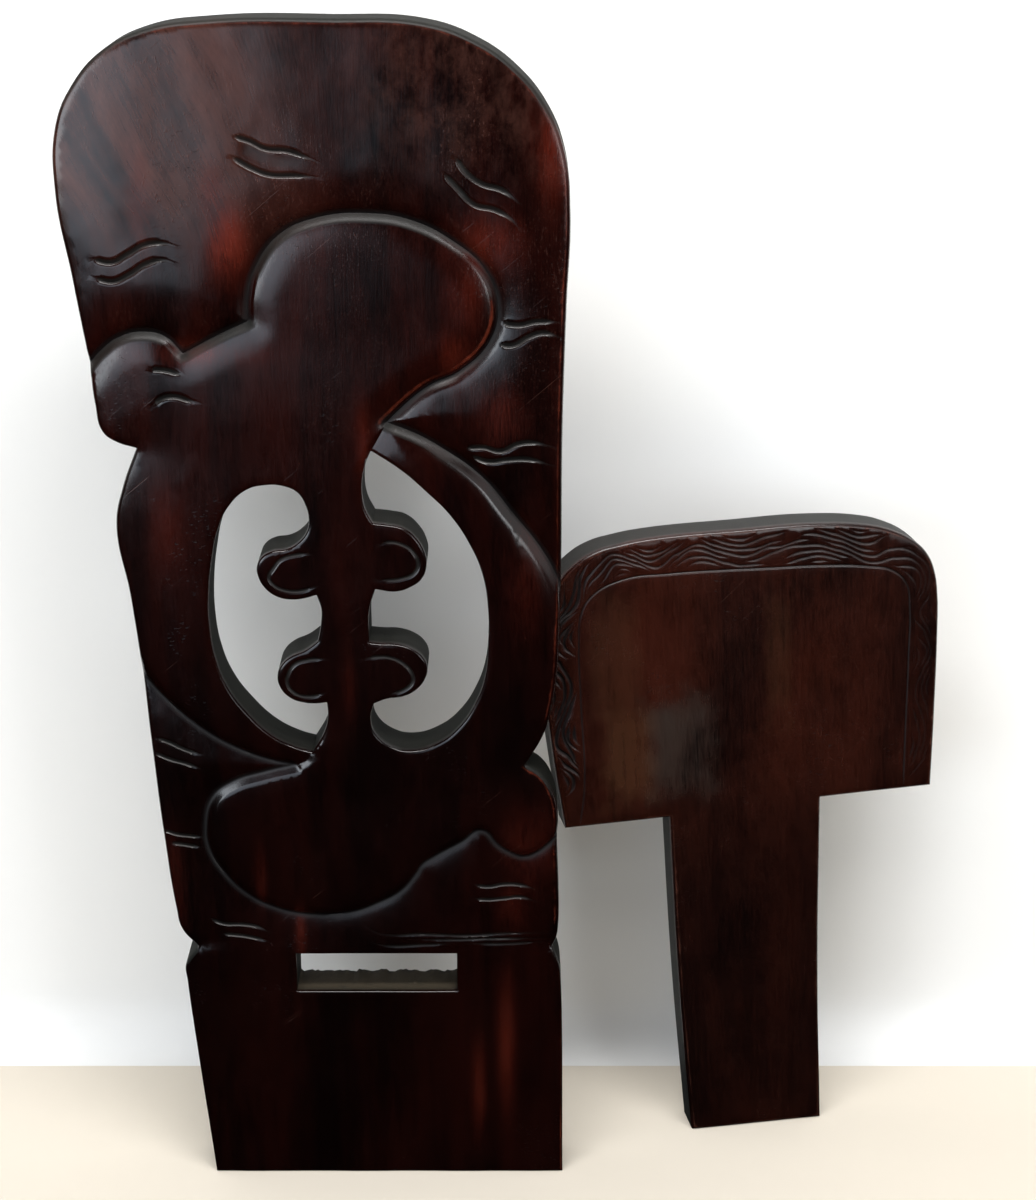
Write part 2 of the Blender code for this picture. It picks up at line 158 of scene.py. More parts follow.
def drawn(points, spacing, closed=True):
    curve = bpy.data.curves.new("drawn_line", "CURVE")
    curve.dimensions = "2D"
    spline = curve.splines.new("BEZIER")
    spline.bezier_points.add(len(points) - 1)
    spline.use_cyclic_u = closed
    for knot, (x, height, *kind) in zip(spline.bezier_points, points):
        knot.co = (x, height, 0.0)
        knot.handle_left_type = knot.handle_right_type = kind[0] if kind else SMOOTH
    holder = bpy.data.objects.new("drawn_line", curve)
    scene.collection.objects.link(holder)
    bpy.context.view_layer.update()
    knots = list(spline.bezier_points)
    ends = knots[1:] + (knots[:1] if closed else [])
    samples = []
    for start, end in zip(knots, ends):
        steps = max(1, round((end.co - start.co).length / spacing))
        run = interpolate_bezier(start.co, start.handle_right, end.handle_left, end.co, steps + 1)
        samples += [point[:2] for point in run[:-1]]
    if not closed:
        samples.append(knots[-1].co[:2])
    bpy.data.objects.remove(holder)
    bpy.data.curves.remove(curve)
    return np.array(samples)


# %% Distances from drawn curves
def tree_of(spots):
    tree = KDTree(len(spots))
    for index, (x, height) in enumerate(spots):
        tree.insert((x, height, 0.0), index)
    tree.balance()
    return tree


def stretch_distance(spots, start, end):
    """How far each spot is from the straight stretch beside it."""
    along = end - start
    share = ((spots - start) * along).sum(1) / np.maximum((along**2).sum(1), 1e-18)
    return np.linalg.norm(spots - start - along * np.clip(share, 0, 1)[:, None], axis=1)


class Drawing:
    """Several paths, closed or open, that can be asked for the distance to the nearest of them."""

    def __init__(self, paths, closed):
        self.paths = paths
        self.points = np.concatenate(paths)
        before, after = [], []
        first = 0
        for path in paths:
            own = np.arange(first, first + len(path))
            before.append(np.roll(own, 1) if closed else np.r_[own[0], own[:-1]])
            after.append(np.roll(own, -1) if closed else np.r_[own[1:], own[-1]])
            first += len(path)
        self.before = np.concatenate(before)
        self.after = np.concatenate(after)
        self.tree = tree_of(self.points)

    def distance(self, spots):
        """The distance of each spot, and which of the drawing's points is nearest to it."""
        nearest = np.array([self.tree.find((x, height, 0.0))[1] for x, height in spots])
        here = self.points[nearest]
        back = stretch_distance(spots, self.points[self.before[nearest]], here)
        ahead = stretch_distance(spots, here, self.points[self.after[nearest]])
        return np.minimum(back, ahead), nearest

    def edges(self, first):
        """The stretches of all paths as pairs of point numbers, counted from first."""
        ends = np.stack([np.arange(len(self.points)), self.after], 1) + first
        return [(int(start), int(end)) for start, end in ends if start != end]

    def rows_beside(self, offset):
        """A row of spots beside every path, to its left where the offset is positive."""
        ahead = self.points[self.after] - self.points[self.before]
        side = np.stack([-ahead[:, 1], ahead[:, 0]], 1)
        return self.points + offset * side / np.linalg.norm(side, axis=1)[:, None]


def inside(spots, loop):
    """Which spots lie inside a closed loop: a level line from them crosses it an odd number of times."""
    x, height = spots.T
    odd = np.zeros(len(spots), bool)
    for (ax, az), (bx, bz) in zip(loop, np.roll(loop, -1, 0)):
        if az != bz:
            crossing = (az > height) != (bz > height)
            odd ^= crossing & (x < (bx - ax) * (height - az) / (bz - az) + ax)
    return odd


def between(value, low, high):
    """0 below low, 1 above high, with a soft passage between."""
    share = np.clip((value - low) / (high - low), 0, 1)
    return share * share * (3 - 2 * share)


def tooled(spots, size, amount):
    """The slow unevenness that hand tools leave on a surface."""
    return amount * np.array([noise.noise((x / size, 0.0, height / size)) for x, height in spots])


# %% [markdown]
# ## From a drawing to a carved board
#
# A carved face could be pushed out of a fine grid, but a grid wastes faces on the plain parts and is still
# too coarse in the grooves. Here the face is one Delaunay triangulation instead: its edges follow every
# outline and carved line, rows of spots lie close together beside them, and the plain parts get a wide
# honeycomb. Each corner is then lowered by a formula of its distances. Extruding the rim gives the sawn
# walls, and a second, coarser skin closes the back.

# %% Triangulating a face
def thinned(found, candidates, reach):
    """The candidates that are farther than reach from every spot found so far."""
    tree = tree_of(found)
    clear = [tree.find((x, height, 0.0))[2] > reach for x, height in candidates]
    return np.concatenate([found, candidates[np.array(clear, bool)]])


def honeycomb(low, high, pitch):
    rows = []
    for row, height in enumerate(np.arange(low[1], high[1], pitch * math.sqrt(3) / 2)):
        across = np.arange(low[0] + (row % 2) * pitch / 2, high[0], pitch)
        rows.append(np.stack([across, np.full(len(across), height)], 1))
    return np.concatenate(rows)


def flat_skin(spots, edges, loops):
    """Corners and triangles that fill the first loop around the other loops, with the given edges kept."""
    made = delaunay_2d_cdt([Vector(spot) for spot in spots], edges, [], 0, 1e-7, False)
    corners = np.array([corner[:2] for corner in made[0]])
    triangles = np.array(made[2])
    middles = corners[triangles].mean(1)
    kept = inside(middles, loops[0])
    for hole in loops[1:]:
        kept &= ~inside(middles, hole)
    return corners, triangles[kept]


# %% [markdown]
# Every corner also carries five values for the finish: how worn it is, how much painted shade lies there, how
# strong its tinge is (red flames, or the seat's grey patch), how dull it is, like a saw-cut wall, with a
# grey-green reflection painted on, and how bare of stain.

# %% Raising a face into a closed board
WALL_STEPS = 6
CREASE = math.radians(50)
WELD = 1e-6
FINISH_VALUES = ("wear", "painted_shade", "tinge", "dull_and_painted_grey", "bare")


def add_skin(shape, spots, edges, rows, loops, face):
    """Add one skin to a board's shape. Its face gives the level and the finish values at each corner."""
    for candidates, reach in rows:
        spots = thinned(spots, candidates, reach)
    corners, triangles = flat_skin(spots, edges, loops)
    level, values = face(corners)
    mesh = bpy.data.meshes.new("skin")
    mesh.from_pydata(np.stack([corners[:, 0], level, corners[:, 1]], 1).tolist(), [], triangles.tolist())
    plain = [np.zeros(len(corners))] * len(FINISH_VALUES)
    for name, value in zip(FINISH_VALUES, (*values, *plain)):
        mesh.attributes.new(name, "FLOAT", "POINT").data.foreach_set("value", value.astype(np.float32))
    shape.from_mesh(mesh)
    bpy.data.meshes.remove(mesh)
    loose = [corner for corner in shape.verts if not corner.link_faces]
    bmesh.ops.delete(shape, geom=loose, context="VERTS")


def extruded(shape, ring):
    """Extrude edges, and return the new edges and the new corners."""
    made = bmesh.ops.extrude_edge_only(shape, edges=ring)["geom"]
    kinds = bmesh.types.BMEdge, bmesh.types.BMVert
    return [[part for part in made if isinstance(part, kind)] for kind in kinds]


def corners_of(ring):
    return list(dict.fromkeys(corner for edge in ring for corner in edge.verts))


def raise_walls(shape, back, bare):
    """Extrude every open rim of the front skin to the back, and return the last ring of edges."""
    ring = [edge for edge in shape.edges if edge.is_boundary]
    rim = corners_of(ring)
    places = [(corner.co.x, corner.co.z) for corner in rim]
    start = {place: corner.co.y for place, corner in zip(places, rim)}
    end = dict(zip(places, back(np.array(places))[0]))
    for step in range(1, WALL_STEPS + 1):
        ring, corners = extruded(shape, ring)
        for corner in corners:
            place = (corner.co.x, corner.co.z)
            corner.co.y = start[place] + (end[place] - start[place]) * step / WALL_STEPS
            # Walls are fully dull and take the painted grey-green reflection colour
            for name, value in zip(FINISH_VALUES, (0.0, 0.0, 0.0, 1.0, float(bare(*place)))):
                corner[shape.verts.layers.float[name]] = value
    return ring


def carved_board(rim, lines, rows, front, back, back_rows, bare):
    """A closed board: a carved front skin, sawn walls round every rim, and a plain back skin."""
    spots, edges = rim.points, rim.edges(0)
    for line in lines:
        edges += line.edges(len(spots))
        spots = np.concatenate([spots, line.points])
    shape = bmesh.new()
    add_skin(shape, spots, edges, rows, rim.paths, front)
    ring = raise_walls(shape, back, bare)
    number = {corner: index for index, corner in enumerate(corners_of(ring))}
    spots = np.array([(corner.co.x, corner.co.z) for corner in number])
    edges = [(number[edge.verts[0]], number[edge.verts[1]]) for edge in ring]
    add_skin(shape, spots, edges, back_rows, rim.paths, back)
    bmesh.ops.remove_doubles(shape, verts=shape.verts, dist=WELD)
    bmesh.ops.recalc_face_normals(shape, faces=shape.faces)
    return shape


def finished(name, shape):
    """Turn a shape into a shaded object, with crisp edges only where two cuts meet sharply."""
    for face in shape.faces:
        face.smooth = True
    for edge in shape.edges:
        edge.smooth = edge.calc_face_angle(0.0) < CREASE
    open_edges = sum(not edge.is_manifold for edge in shape.edges)
    mesh = bpy.data.meshes.new(name)
    shape.to_mesh(mesh)
    shape.free()
    piece = bpy.data.objects.new(name, mesh)
    scene.collection.objects.link(piece)
    print(name, "has", len(mesh.polygons), "faces and", open_edges, "open edges")
    return piece


# %% [markdown]
# ## The back board's carving
#
# The carver left the figure at full height and sank the ground beside it: deepest right along the figure,
# where the gouge ran, and rising softly to the old surface. Pairs of short wavy cuts decorate the ground, a
# curved cut follows the rim of each of the four lobes, and the last strip above the plinth keeps long rough
# tool marks. The cuts are listed as they lie on the board, in millimetres from the middle of its foot.

# %% The incised lines
CUT_SPACING = 0.0016
FADE_FROM = -0.01
NARROWEST = 0.30
SHALLOWEST = 0.15
UPPER_CUTS = [
    [(-102, 913), (-90, 909), (-80, 904), (-62, 902), (-50, 898), (-39, 893)],
    [(-104, 897), (-90, 889), (-77, 884), (-55, 883), (-39, 881)],
    [(67, 896), (75, 885), (86, 877), (102, 872), (114, 862)],
    [(58, 884), (69, 872), (80, 861), (96, 857), (107, 851), (114, 843)],
    [(-215, 818), (-201, 816), (-187, 823), (-174, 830), (-160, 831), (-150, 828)],
    [(-214, 803), (-201, 801), (-187, 807), (-174, 815), (-162, 818), (-152, 815)],
    [(102, 767), (115, 766), (129, 769), (146, 768)],
    [(100, 750), (110, 750), (123, 757), (134, 760), (147, 756)],
    [(-174, 731), (-163, 730), (-150, 726)],
    [(-173, 703), (-168, 707), (-158, 709), (-147, 706), (-139, 704)],
    [(73, 666), (86, 667), (100, 664), (114, 670), (126, 671), (141, 667)],
    [(78, 659), (90, 655), (106, 657), (124, 657), (140, 652)],
]
LOWER_CUTS = [
    [(-187, 416), (-176, 412), (-164, 406), (-150, 401)],
    [(-189, 403), (-176, 397), (-162, 393), (-150, 388)],
    [(-184, 332), (-174, 328), (-162, 326), (-151, 324)],
    [(-179, 320), (-167, 318), (-154, 315)],
    [(77, 282), (88, 280), (102, 282), (116, 281), (128, 277)],
    [(77, 269), (88, 268), (102, 269), (116, 270), (128, 266)],
    [(-149, 250), (-138, 245), (-122, 244), (-110, 242), (-100, 237)],
    [(-139, 235), (-126, 234), (-114, 232), (-100, 228)],
]
LOBE_CUTS = [
    [(-54, 578), (-66, 577), (-78, 573), (-84, 566), (-88, 558),
     (-84, 551), (-76, 547), (-64, 546), (-50, 550)],
    [(3, 586), (10, 588), (20, 586), (29, 580), (33, 571), (30, 562), (20, 557), (1, 555)],
    [(-44, 487), (-60, 486), (-70, 482), (-75, 474), (-76, 466), (-70, 457), (-58, 454), (-45, 457)],
    [(-12, 487), (0, 489), (10, 488), (20, 483), (27, 474), (27, 467), (20, 460), (8, 456)],
]
TOOL_MARKS = [
    [(-16, 241), (-7, 236), (4, 234), (30, 235), (70, 234), (110, 236), (140, 235)],
    [(-13, 227), (0, 224), (33, 225), (60, 226)],
    [(20, 230), (60, 230), (100, 231), (138, 230)],
    [(70, 226), (100, 226), (135, 227)],
]
# Where the end of a crescent runs under an arm, and the shallow ribbon between the first two cuts
OVERLAPS = [[(-72, 391), (-64, 395), (-58.5, 401.5)], [(9.5, 686), (3, 674), (-2.5, 664.5)]]
RIBBON = [(-92, 903), (-74, 895), (-56, 893), (-42, 888)]


class CutLines(Drawing):
    """Carved lines, each a path with a half width and a depth at every point."""

    def __init__(self, lines):
        paths, halves, depths = zip(*lines)
        super().__init__(paths, closed=False)
        self.half, self.depth = np.concatenate(halves), np.concatenate(depths)


def cuts(lists, width, depth, start, end):
    """Carved lines along listed points, which fade in and out over the given shares of their length."""
    made = []
    for points in lists:
        path = drawn(in_metres(points), CUT_SPACING, closed=False)
        along = np.linspace(0, 1, len(path))
        fade = between(along, FADE_FROM, start) * between(1 - along, FADE_FROM, end)
        half = width / 2 * (NARROWEST + (1 - NARROWEST) * fade)
        made.append((path, half, depth * (SHALLOWEST + (1 - SHALLOWEST) * fade)))
    return made


board_lines = CutLines(
    cuts(UPPER_CUTS, width=0.0052, depth=0.0022, start=0.06, end=0.30)
    + cuts(LOWER_CUTS, width=0.0042, depth=0.0018, start=0.12, end=0.25)
    + cuts(LOBE_CUTS, width=0.0036, depth=0.0016, start=0.12, end=0.12)
    + cuts(OVERLAPS, width=0.0030, depth=0.0001, start=0.10, end=0.10)
    + cuts(TOOL_MARKS, width=0.0034, depth=0.0012, start=0.30, end=0.30)
)
print(len(board_lines.paths), "lines are cut into the back board")

# %% The back board's drawing
RIM_SPACING = 0.0024
FIGURE_SPACING = RIM_SPACING * 0.8
EDGE_ROUND = 0.0032
PLINTH_EDGE_ROUND = 0.0020
OPENING_ROUND = 0.0022
SLOT_ROUND = 0.0014


def lifted(points):
    return in_metres(points, base=PLINTH_HEIGHT)


def board_outline():
    foot = [(FOOT_WIDTH / 2, 0.0, CORNER), (-FOOT_WIDTH / 2, 0.0, CORNER)]
    return lifted(BOARD_OUTLINE) + lifted(PLINTH_RIGHT) + foot + lifted(PLINTH_LEFT)


def slot_outline():
    left, right = SLOT_OFFSET - SLOT_WIDTH / 2, SLOT_OFFSET + SLOT_WIDTH / 2
    low, high = SLOT_SILL, SLOT_SILL + SLOT_HEIGHT
    return [(*corner, CORNER) for corner in ((left, low), (right, low), (right, high), (left, high))]


def open_lines(lists, spacing):
    return Drawing([drawn(points, spacing, closed=False) for points in lists], closed=False)


outline = drawn(board_outline(), RIM_SPACING)
openings = [drawn(lifted(points), RIM_SPACING) for points in (LEFT_OPENING, RIGHT_OPENING)]
slot = drawn(slot_outline(), RIM_SPACING)
board_rim = Drawing([outline, *openings, slot], closed=True)
contours = open_lines([lifted(UPPER_CONTOUR), lifted(LOWER_CONTOUR)], FIGURE_SPACING)
upper_contour, lower_contour = contours.paths
figure_corners = tree_of([knot[:2] for knot in lifted(UPPER_CONTOUR[1:-1]) if CORNER in knot])
overlaps = open_lines([in_metres(points) for points in OVERLAPS], CUT_SPACING)
ribbon = open_lines([in_metres(RIBBON)], CUT_SPACING)
rounds = [np.where(outline[:, 1] > PLINTH_HEIGHT, EDGE_ROUND, PLINTH_EDGE_ROUND)]
rounds += [np.full(len(path), OPENING_ROUND) for path in openings] + [np.full(len(slot), SLOT_ROUND)]
rim_round = np.concatenate(rounds)
print("rim of", len(board_rim.points), "points and figure of", len(contours.points))

# %% [markdown]
# The relief is a sum of simple profiles of distances. A rounded rim is a quarter of a circle. The figure's
# edge is a straight bevel, and behind it a parabola rounds the figure like a cushion. The sunk ground is
# two parabolas, a narrow channel in a wide dip. A cut is a V with a steep lower side, so that it shows as a
# dark line above a light lip. The lower half of the figure has the wider bevel, and hardly any channel
# beside it.

# %% Profiles, and where a spot lies on the back board
AREA_BEYOND = 0.10
CUT_SLANT = -0.45
# Pairs are for the upper and the lower half of the figure
BEVEL_WIDTH = (0.0046, 0.0075)
CRESCENT_WIDENING = 0.0022
CRESCENT_TOP = 0.68
CRESCENT_SPAN = (0.03, 0.08)
RIBBON_HALF_WIDTH = 0.0085
RIBBON_FADE = 0.85


def fall(distance, width):
    """A parabola: 1 at a line, 0 from width onwards."""
    return np.maximum(1 - distance / width, 0) ** 2


def bell(distance, middle, width):
    """1 at the middle, fading softly to both sides."""
    return np.exp(-(((distance - middle) / width) ** 2))


def quarter_round(distance, radius):
    """Drop of a rounded edge, from the whole radius at the rim to nothing."""
    share = 1 - np.clip(distance / radius, 0, 1)
    return radius * (1 - np.sqrt(np.maximum(1 - share * share, 0)))


def gouged(spots, lines, slant):
    """Depth of the carved lines, a V whose lowest line is off its middle, and the distance in half widths."""
    distance, nearest = lines.distance(spots)
    ahead = lines.points[lines.after[nearest]] - lines.points[lines.before[nearest]]
    up = np.stack([-ahead[:, 1], ahead[:, 0]], 1) / np.linalg.norm(ahead, axis=1)[:, None]
    up *= np.where(up[:, 1:] < 0, -1, 1)
    beside = distance / lines.half[nearest]
    across = np.sign(((spots - lines.points[nearest]) * up).sum(1)) * beside
    lowest = slant * up[:, 1]
    side = np.where(across > lowest, (1 - across) / (1 - lowest), (1 + across) / (1 + lowest))
    return lines.depth[nearest] * np.clip(side, 0, 1), beside


def ground_area(contour, far):
    """The closed area on the sunk side of a contour, run round outside the plank."""
    left, right = outline[:, 0].min() - AREA_BEYOND, outline[:, 0].max() + AREA_BEYOND
    near, last = (left, right) if contour[0, 0] < contour[-1, 0] else (right, left)
    beyond = [(last, contour[-1, 1]), (last, far), (near, far), (near, contour[0, 1])]
    return np.concatenate([contour, beyond])


class BoardSpots:
    """Where spots on the back board's face lie beside its rims, its figure and its cuts."""

    def __init__(self, spots):
        self.spots = spots
        self.rim_distance, self.rim_point = board_rim.distance(spots)
        self.rim_round = rim_round[self.rim_point]
        self.on_outline = self.rim_point < len(outline)
        self.distance, figure_point = contours.distance(spots)
        self.upper = figure_point < len(upper_contour)
        self.plain = spots[:, 1] < PLINTH_HEIGHT
        self.sunk = inside(spots, ground_area(upper_contour, outline[:, 1].max() + AREA_BEYOND))
        self.sunk |= inside(spots, ground_area(lower_contour, 0.0))
        near = contours.points[figure_point]
        self.outward = (near - spots) / np.maximum(self.distance, 1e-6)[:, None]
        widened = CRESCENT_WIDENING * between(near[:, 0], *CRESCENT_SPAN)
        widened = np.where(self.upper & (near[:, 1] < CRESCENT_TOP), widened, 0.0)
        self.bevel_width = np.where(self.upper, *BEVEL_WIDTH) + widened
        self.groove, self.beside = gouged(spots, board_lines, CUT_SLANT)
        ribbon_distance, ribbon_point = ribbon.distance(spots)
        self.recess = np.maximum(1 - (ribbon_distance / RIBBON_HALF_WIDTH) ** 2, 0) ** 2
        self.recess *= 1 - RIBBON_FADE * between(ribbon_point / len(ribbon.points), 0.4, 1.0)


# %% The relief of the back board's face
GROUND_DIP = 0.0045
GROUND_WIDTH = 0.046
CHANNEL_DEPTH = (0.0032, 0.0004)
CHANNEL_WIDTH = 0.011
PILLOW_DROP = (0.0030, 0.0012)
PILLOW_WIDTH = 0.020
UNDER_DIPS = ((0.0042, 0.0020), (0.0042, 0.0034))
UNDER_WIDTH = 0.034
CROWN_DROP = 0.0028
CROWN_WIDTH = 0.055
RIBBON_DEPTH = 0.0009


def under_arms(spots):
    """The dip of a crescent that runs under an arm, and the arm's own bevel beside it."""
    dips = np.concatenate([np.linspace(*ends, len(path)) for ends, path in zip(UNDER_DIPS, overlaps.paths)])
    distance, point = overlaps.distance(spots)
    leftward = overlaps.rows_beside(1.0)[point] - overlaps.points[point]
    under = ((spots - overlaps.points[point]) * leftward).sum(1) > 0
    over_width = np.where(point >= len(overlaps.paths[0]), *BEVEL_WIDTH)
    reach = 1 - distance / np.where(under, UNDER_WIDTH, over_width)
    return dips[point] * np.maximum(reach, 0) ** np.where(under, 2, 1)


def board_relief(at):
    """How far the face lies below the plank's old surface, without its rims and cuts."""
    channel_depth = np.where(at.upper, *CHANNEL_DEPTH)
    pillow_drop = np.where(at.upper, *PILLOW_DROP)
    ground = channel_depth * fall(at.distance, CHANNEL_WIDTH) + GROUND_DIP * fall(at.distance, GROUND_WIDTH)
    pillow = pillow_drop * fall(np.maximum(at.distance - at.bevel_width, 0), PILLOW_WIDTH)
    bevel = (channel_depth + GROUND_DIP - pillow_drop) * np.maximum(1 - at.distance / at.bevel_width, 0)
    figure = np.maximum(pillow + bevel, under_arms(at.spots))
    relief = np.where(at.plain, 0.0, np.where(at.sunk, ground, figure))
    gouge_marks = tooled(at.spots, 0.045, 0.0005) + tooled(at.spots, 0.012, 0.0001)
    relief += np.where(at.sunk, gouge_marks, tooled(at.spots, 0.06, 0.0004))
    crown = CROWN_DROP * fall(at.rim_distance, CROWN_WIDTH)
    relief += np.where(at.plain | (at.rim_round < EDGE_ROUND), 0.0, crown)
    return relief + RIBBON_DEPTH * at.recess


# %% [markdown]
# The same distances say how the wood has aged: where it is rubbed and where its gloss is gone. They also say
# where shade is painted into the colour, beside the figure, in the cuts and at the figure's corners, and
# where a grey-green reflection is painted on the dull parts. The red heartwood shows in a few flames, listed
# in millimetres as middle, half width, half height and strength.

# %% The finish of the back board's face
RIM_WEAR_WIDTH = 0.0015
CREST_WIDTH = 0.0030
TO_UPPER_RIGHT = (0.7, 0.7)
TO_LOWER_RIGHT = (0.8, -0.6)
UPWARD = (-0.3, 0.95)
FIGURE_FOOT = 0.0022
FIGURE_FOOT_WEAR = 0.0014
# Painted shade: its width beside the figure, on the ground and on the figure, and round the figure's corners
SHADE_BESIDE_FIGURE = (0.0030, 0.0016)
SHADE_AT_CORNERS = 0.006
DARKEST_CUT = 0.0022
DULLEST_CUT = 0.0012
FLAMES = [
    (-112, 830, 13, 26, 0.80), (-122, 870, 9, 22, 0.30), (-178, 860, 9, 42, 0.25), (-140, 742, 40, 9, 0.35),
    (92, 830, 24, 22, 0.35), (140, 905, 12, 40, 0.40), (102, 692, 14, 24, 0.40), (62, 742, 14, 18, 0.25),
    (-182, 284, 14, 36, 0.28), (-168, 600, 12, 40, 0.14), (-104, 290, 4, 24, 0.22), (-72, 238, 4, 20, 0.22),
    (104, 132, 6, 56, 0.28), (80, 86, 5, 40, 0.24), (122, 316, 20, 32, 0.20), (118, 560, 14, 44, 0.18),
    (-10, 672, 5, 30, 0.18), (-24, 460, 5, 26, 0.12), (108, 262, 10, 24, 0.18), (74, 790, 14, 26, 0.20),
]


def flames(spots):
    strength = np.zeros(len(spots))
    for x, height, wide, tall, most in FLAMES:
        away = (spots - (x * MM, height * MM)) / (wide * MM, tall * MM)
        strength = np.maximum(strength, most * np.exp(-(away**2).sum(1)))
    return strength


def board_wear(at):
    """Where the wood is rubbed: its rims, the crest and the foot of the figure, and the lips of cuts."""
    rimward = (board_rim.points[at.rim_point] - at.spots) / np.maximum(at.rim_distance, 1e-6)[:, None]
    rim = bell(at.rim_distance, 0.9 * at.rim_round, RIM_WEAR_WIDTH)
    rim *= 0.30 + 0.70 * at.on_outline * between(rimward @ TO_UPPER_RIGHT, 0.0, 0.6)
    facing = 0.15 + 0.85 * between(at.outward @ TO_LOWER_RIGHT, 0.2, 0.9)
    crest = bell(at.distance, 1.1 * at.bevel_width, CREST_WIDTH)
    crest *= np.where(at.upper, 1.0, 0.5) * np.where(at.sunk | at.plain, 0.0, facing)
    foot = 0.7 * np.where(at.sunk, bell(at.distance, FIGURE_FOOT, FIGURE_FOOT_WEAR), 0.0)
    lips = 0.5 * bell(at.beside, 1.15, 0.25)
    return np.maximum.reduce([rim, crest, foot, lips])


def board_painted_shade(at):
    """Painted shade: darker colour beside the figure, at its corners, in cuts and in the ribbon."""
    beside = np.where(at.plain, 0.0, bell(at.distance, 0.0, np.where(at.sunk, *SHADE_BESIDE_FIGURE)))
    away = np.array([figure_corners.find((x, height, 0.0))[2] for x, height in at.spots])
    corner = 1.2 * bell(away, 0.0, SHADE_AT_CORNERS)
    return np.clip(np.maximum.reduce([beside, at.groove / DARKEST_CUT, 0.7 * at.recess, corner]), 0, 1)


def board_dull_and_painted_grey(at):
    """Where the gloss is gone and a grey-green reflection is painted on: the top rim, the upper figure's
    bevels that face up, and the cuts.
    """
    rim_up = board_rim.rows_beside(1.0)[:, 1] - board_rim.points[:, 1]
    rim_up *= np.sign(rim_up[board_rim.points[:, 1].argmax()])
    rounded = between(1 - at.rim_distance / at.rim_round, 0.0, 0.4) * at.on_outline
    rounded *= between(rim_up[at.rim_point], 0.2, 0.6)
    bevel = between(1.6 - at.distance / at.bevel_width, 0.0, 0.4)
    bevel = np.where(at.upper & ~at.sunk & ~at.plain, bevel, 0.0) * between(at.outward @ UPWARD, 0.5, 0.8)
    return np.maximum.reduce([rounded, 0.7 * bevel, 0.55 * np.clip(at.groove / DULLEST_CUT, 0, 1)])


def board_front(spots):
    at = BoardSpots(spots)
    level = -BOARD_THICKNESS / 2 + board_relief(at) + at.groove + quarter_round(at.rim_distance, at.rim_round)
    return level, (board_wear(at), board_painted_shade(at), flames(spots), board_dull_and_painted_grey(at))


def plain_back(rim, rounds, thickness):
    """The back of a board: flat and a little uneven, with rounded rims that are dull like the saw-cut walls
    and carry the same painted grey-green reflection.
    """
    def back(spots):
        distance, point = rim.distance(spots)
        level = thickness / 2 - quarter_round(distance, rounds[point]) - tooled(spots, 0.08, 0.0003)
        none = np.zeros(len(spots))
        wear = 0.6 * bell(distance, rounds[point], 0.0016)
        return level, (wear, none, none, np.clip(1 - distance / rounds[point], 0, 1))
    return back


# %% Making the back board
FACE_PITCH = 0.0052
BACK_PITCH = 0.016
RIM_SHARES = np.array((0.05, 0.18, 0.40, 0.70, 1.05))
LINE_SHARES = np.array((0.45, 0.8, 1.1, 1.7))
FIGURE_OFFSETS = np.array((4, 12, 26, 44, 52, 60, 68, 75, 83, 105, 140, 190)) / 10000
OVERLAP_OFFSETS = np.array((12, 28, 44, 60, 76, 92, 120)) / 10000
BACK_RIM_ROUND = 0.004
BOARD_CUT_HALF = 0.0026
CHIP_REACH = 0.012
CHIP_DEPTH = 0.0028


def rows(lines, offsets, reaches):
    """Rows of spots on both sides of lines, each with its least distance from earlier spots."""
    pairs = zip(*np.broadcast_arrays(offsets, reaches))
    return [(lines.rows_beside(side * offset), reach) for offset, reach in pairs for side in (1, -1)]


def rim_rows(rim, radius):
    return rows(rim, RIM_SHARES * radius, 0.0012 * RIM_SHARES + 0.0002)


def line_rows(lines, half):
    return rows(lines, LINE_SHARES * half, 0.0004)


def plain_rows(rim, pitch):
    return [(honeycomb(rim.points.min(0), rim.points.max(0), pitch), 0.62 * pitch)]


def on_sill(x, height):
    return abs(height - SLOT_SILL) < 1e-5 and abs(x - SLOT_OFFSET) < SLOT_WIDTH / 2


def chip_sill(shape):
    """Break the rear edge of the slot's sill raggedly."""
    for corner in shape.verts:
        x, y, height = corner.co
        near = 1 - (SLOT_SILL - height) / CHIP_REACH
        if abs(x - SLOT_OFFSET) < SLOT_WIDTH / 2 - 0.002 and 0 < near < 1.001 and y > -CHIP_REACH:
            chipped = 0.6 + noise.noise((x / 0.009, 0.0, 0.0)) + 0.6 * noise.noise((x / 0.003, 5.0, 0.0))
            corner.co.z -= CHIP_DEPTH * max(chipped, 0.0) * near * float(between(y, -CHIP_REACH, 0.02))


front_rows = line_rows(board_lines, BOARD_CUT_HALF) + rim_rows(board_rim, EDGE_ROUND)
front_rows += rows(contours, FIGURE_OFFSETS, 0.0004 + np.minimum(0.0006, 0.2 * FIGURE_OFFSETS))
front_rows += rows(overlaps, OVERLAP_OFFSETS, 0.0008) + plain_rows(board_rim, FACE_PITCH)
back_rows = rim_rows(board_rim, BACK_RIM_ROUND) + plain_rows(board_rim, BACK_PITCH)
board_back = plain_back(board_rim, rim_round, BOARD_THICKNESS)
shape = carved_board(
    board_rim, [contours, board_lines], front_rows, board_front, board_back, back_rows, on_sill
)
chip_sill(shape)
back_board = finished("carved_back_board", shape)

# %% [markdown]
# ## The seat board
#
# The seat is a plain panel with a tongue. A single cut line frames its sitting face on three sides, and the
# band outside that line is filled with flowing waves. They are one formula, drawn at several distances: one
# wave runs round the band, further lines follow it above and below, and a line ends where it would leave
# the band. They are cut boldly on the left and faintly on the right.

# %% The seat's outline and border
SEAT_RIM_ROUND = 0.0030
BORDER = [
    (-150, 326), (-145, 356), (-144, 440), (-143, 494), (-140, 517), (-131, 531), (-105, 543), (-62, 544),
    (-19, 542), (25, 539), (68, 536), (112, 530), (132, 524), (144, 511), (147, 490), (146, 444),
    (143, 374), (141, 324),
]


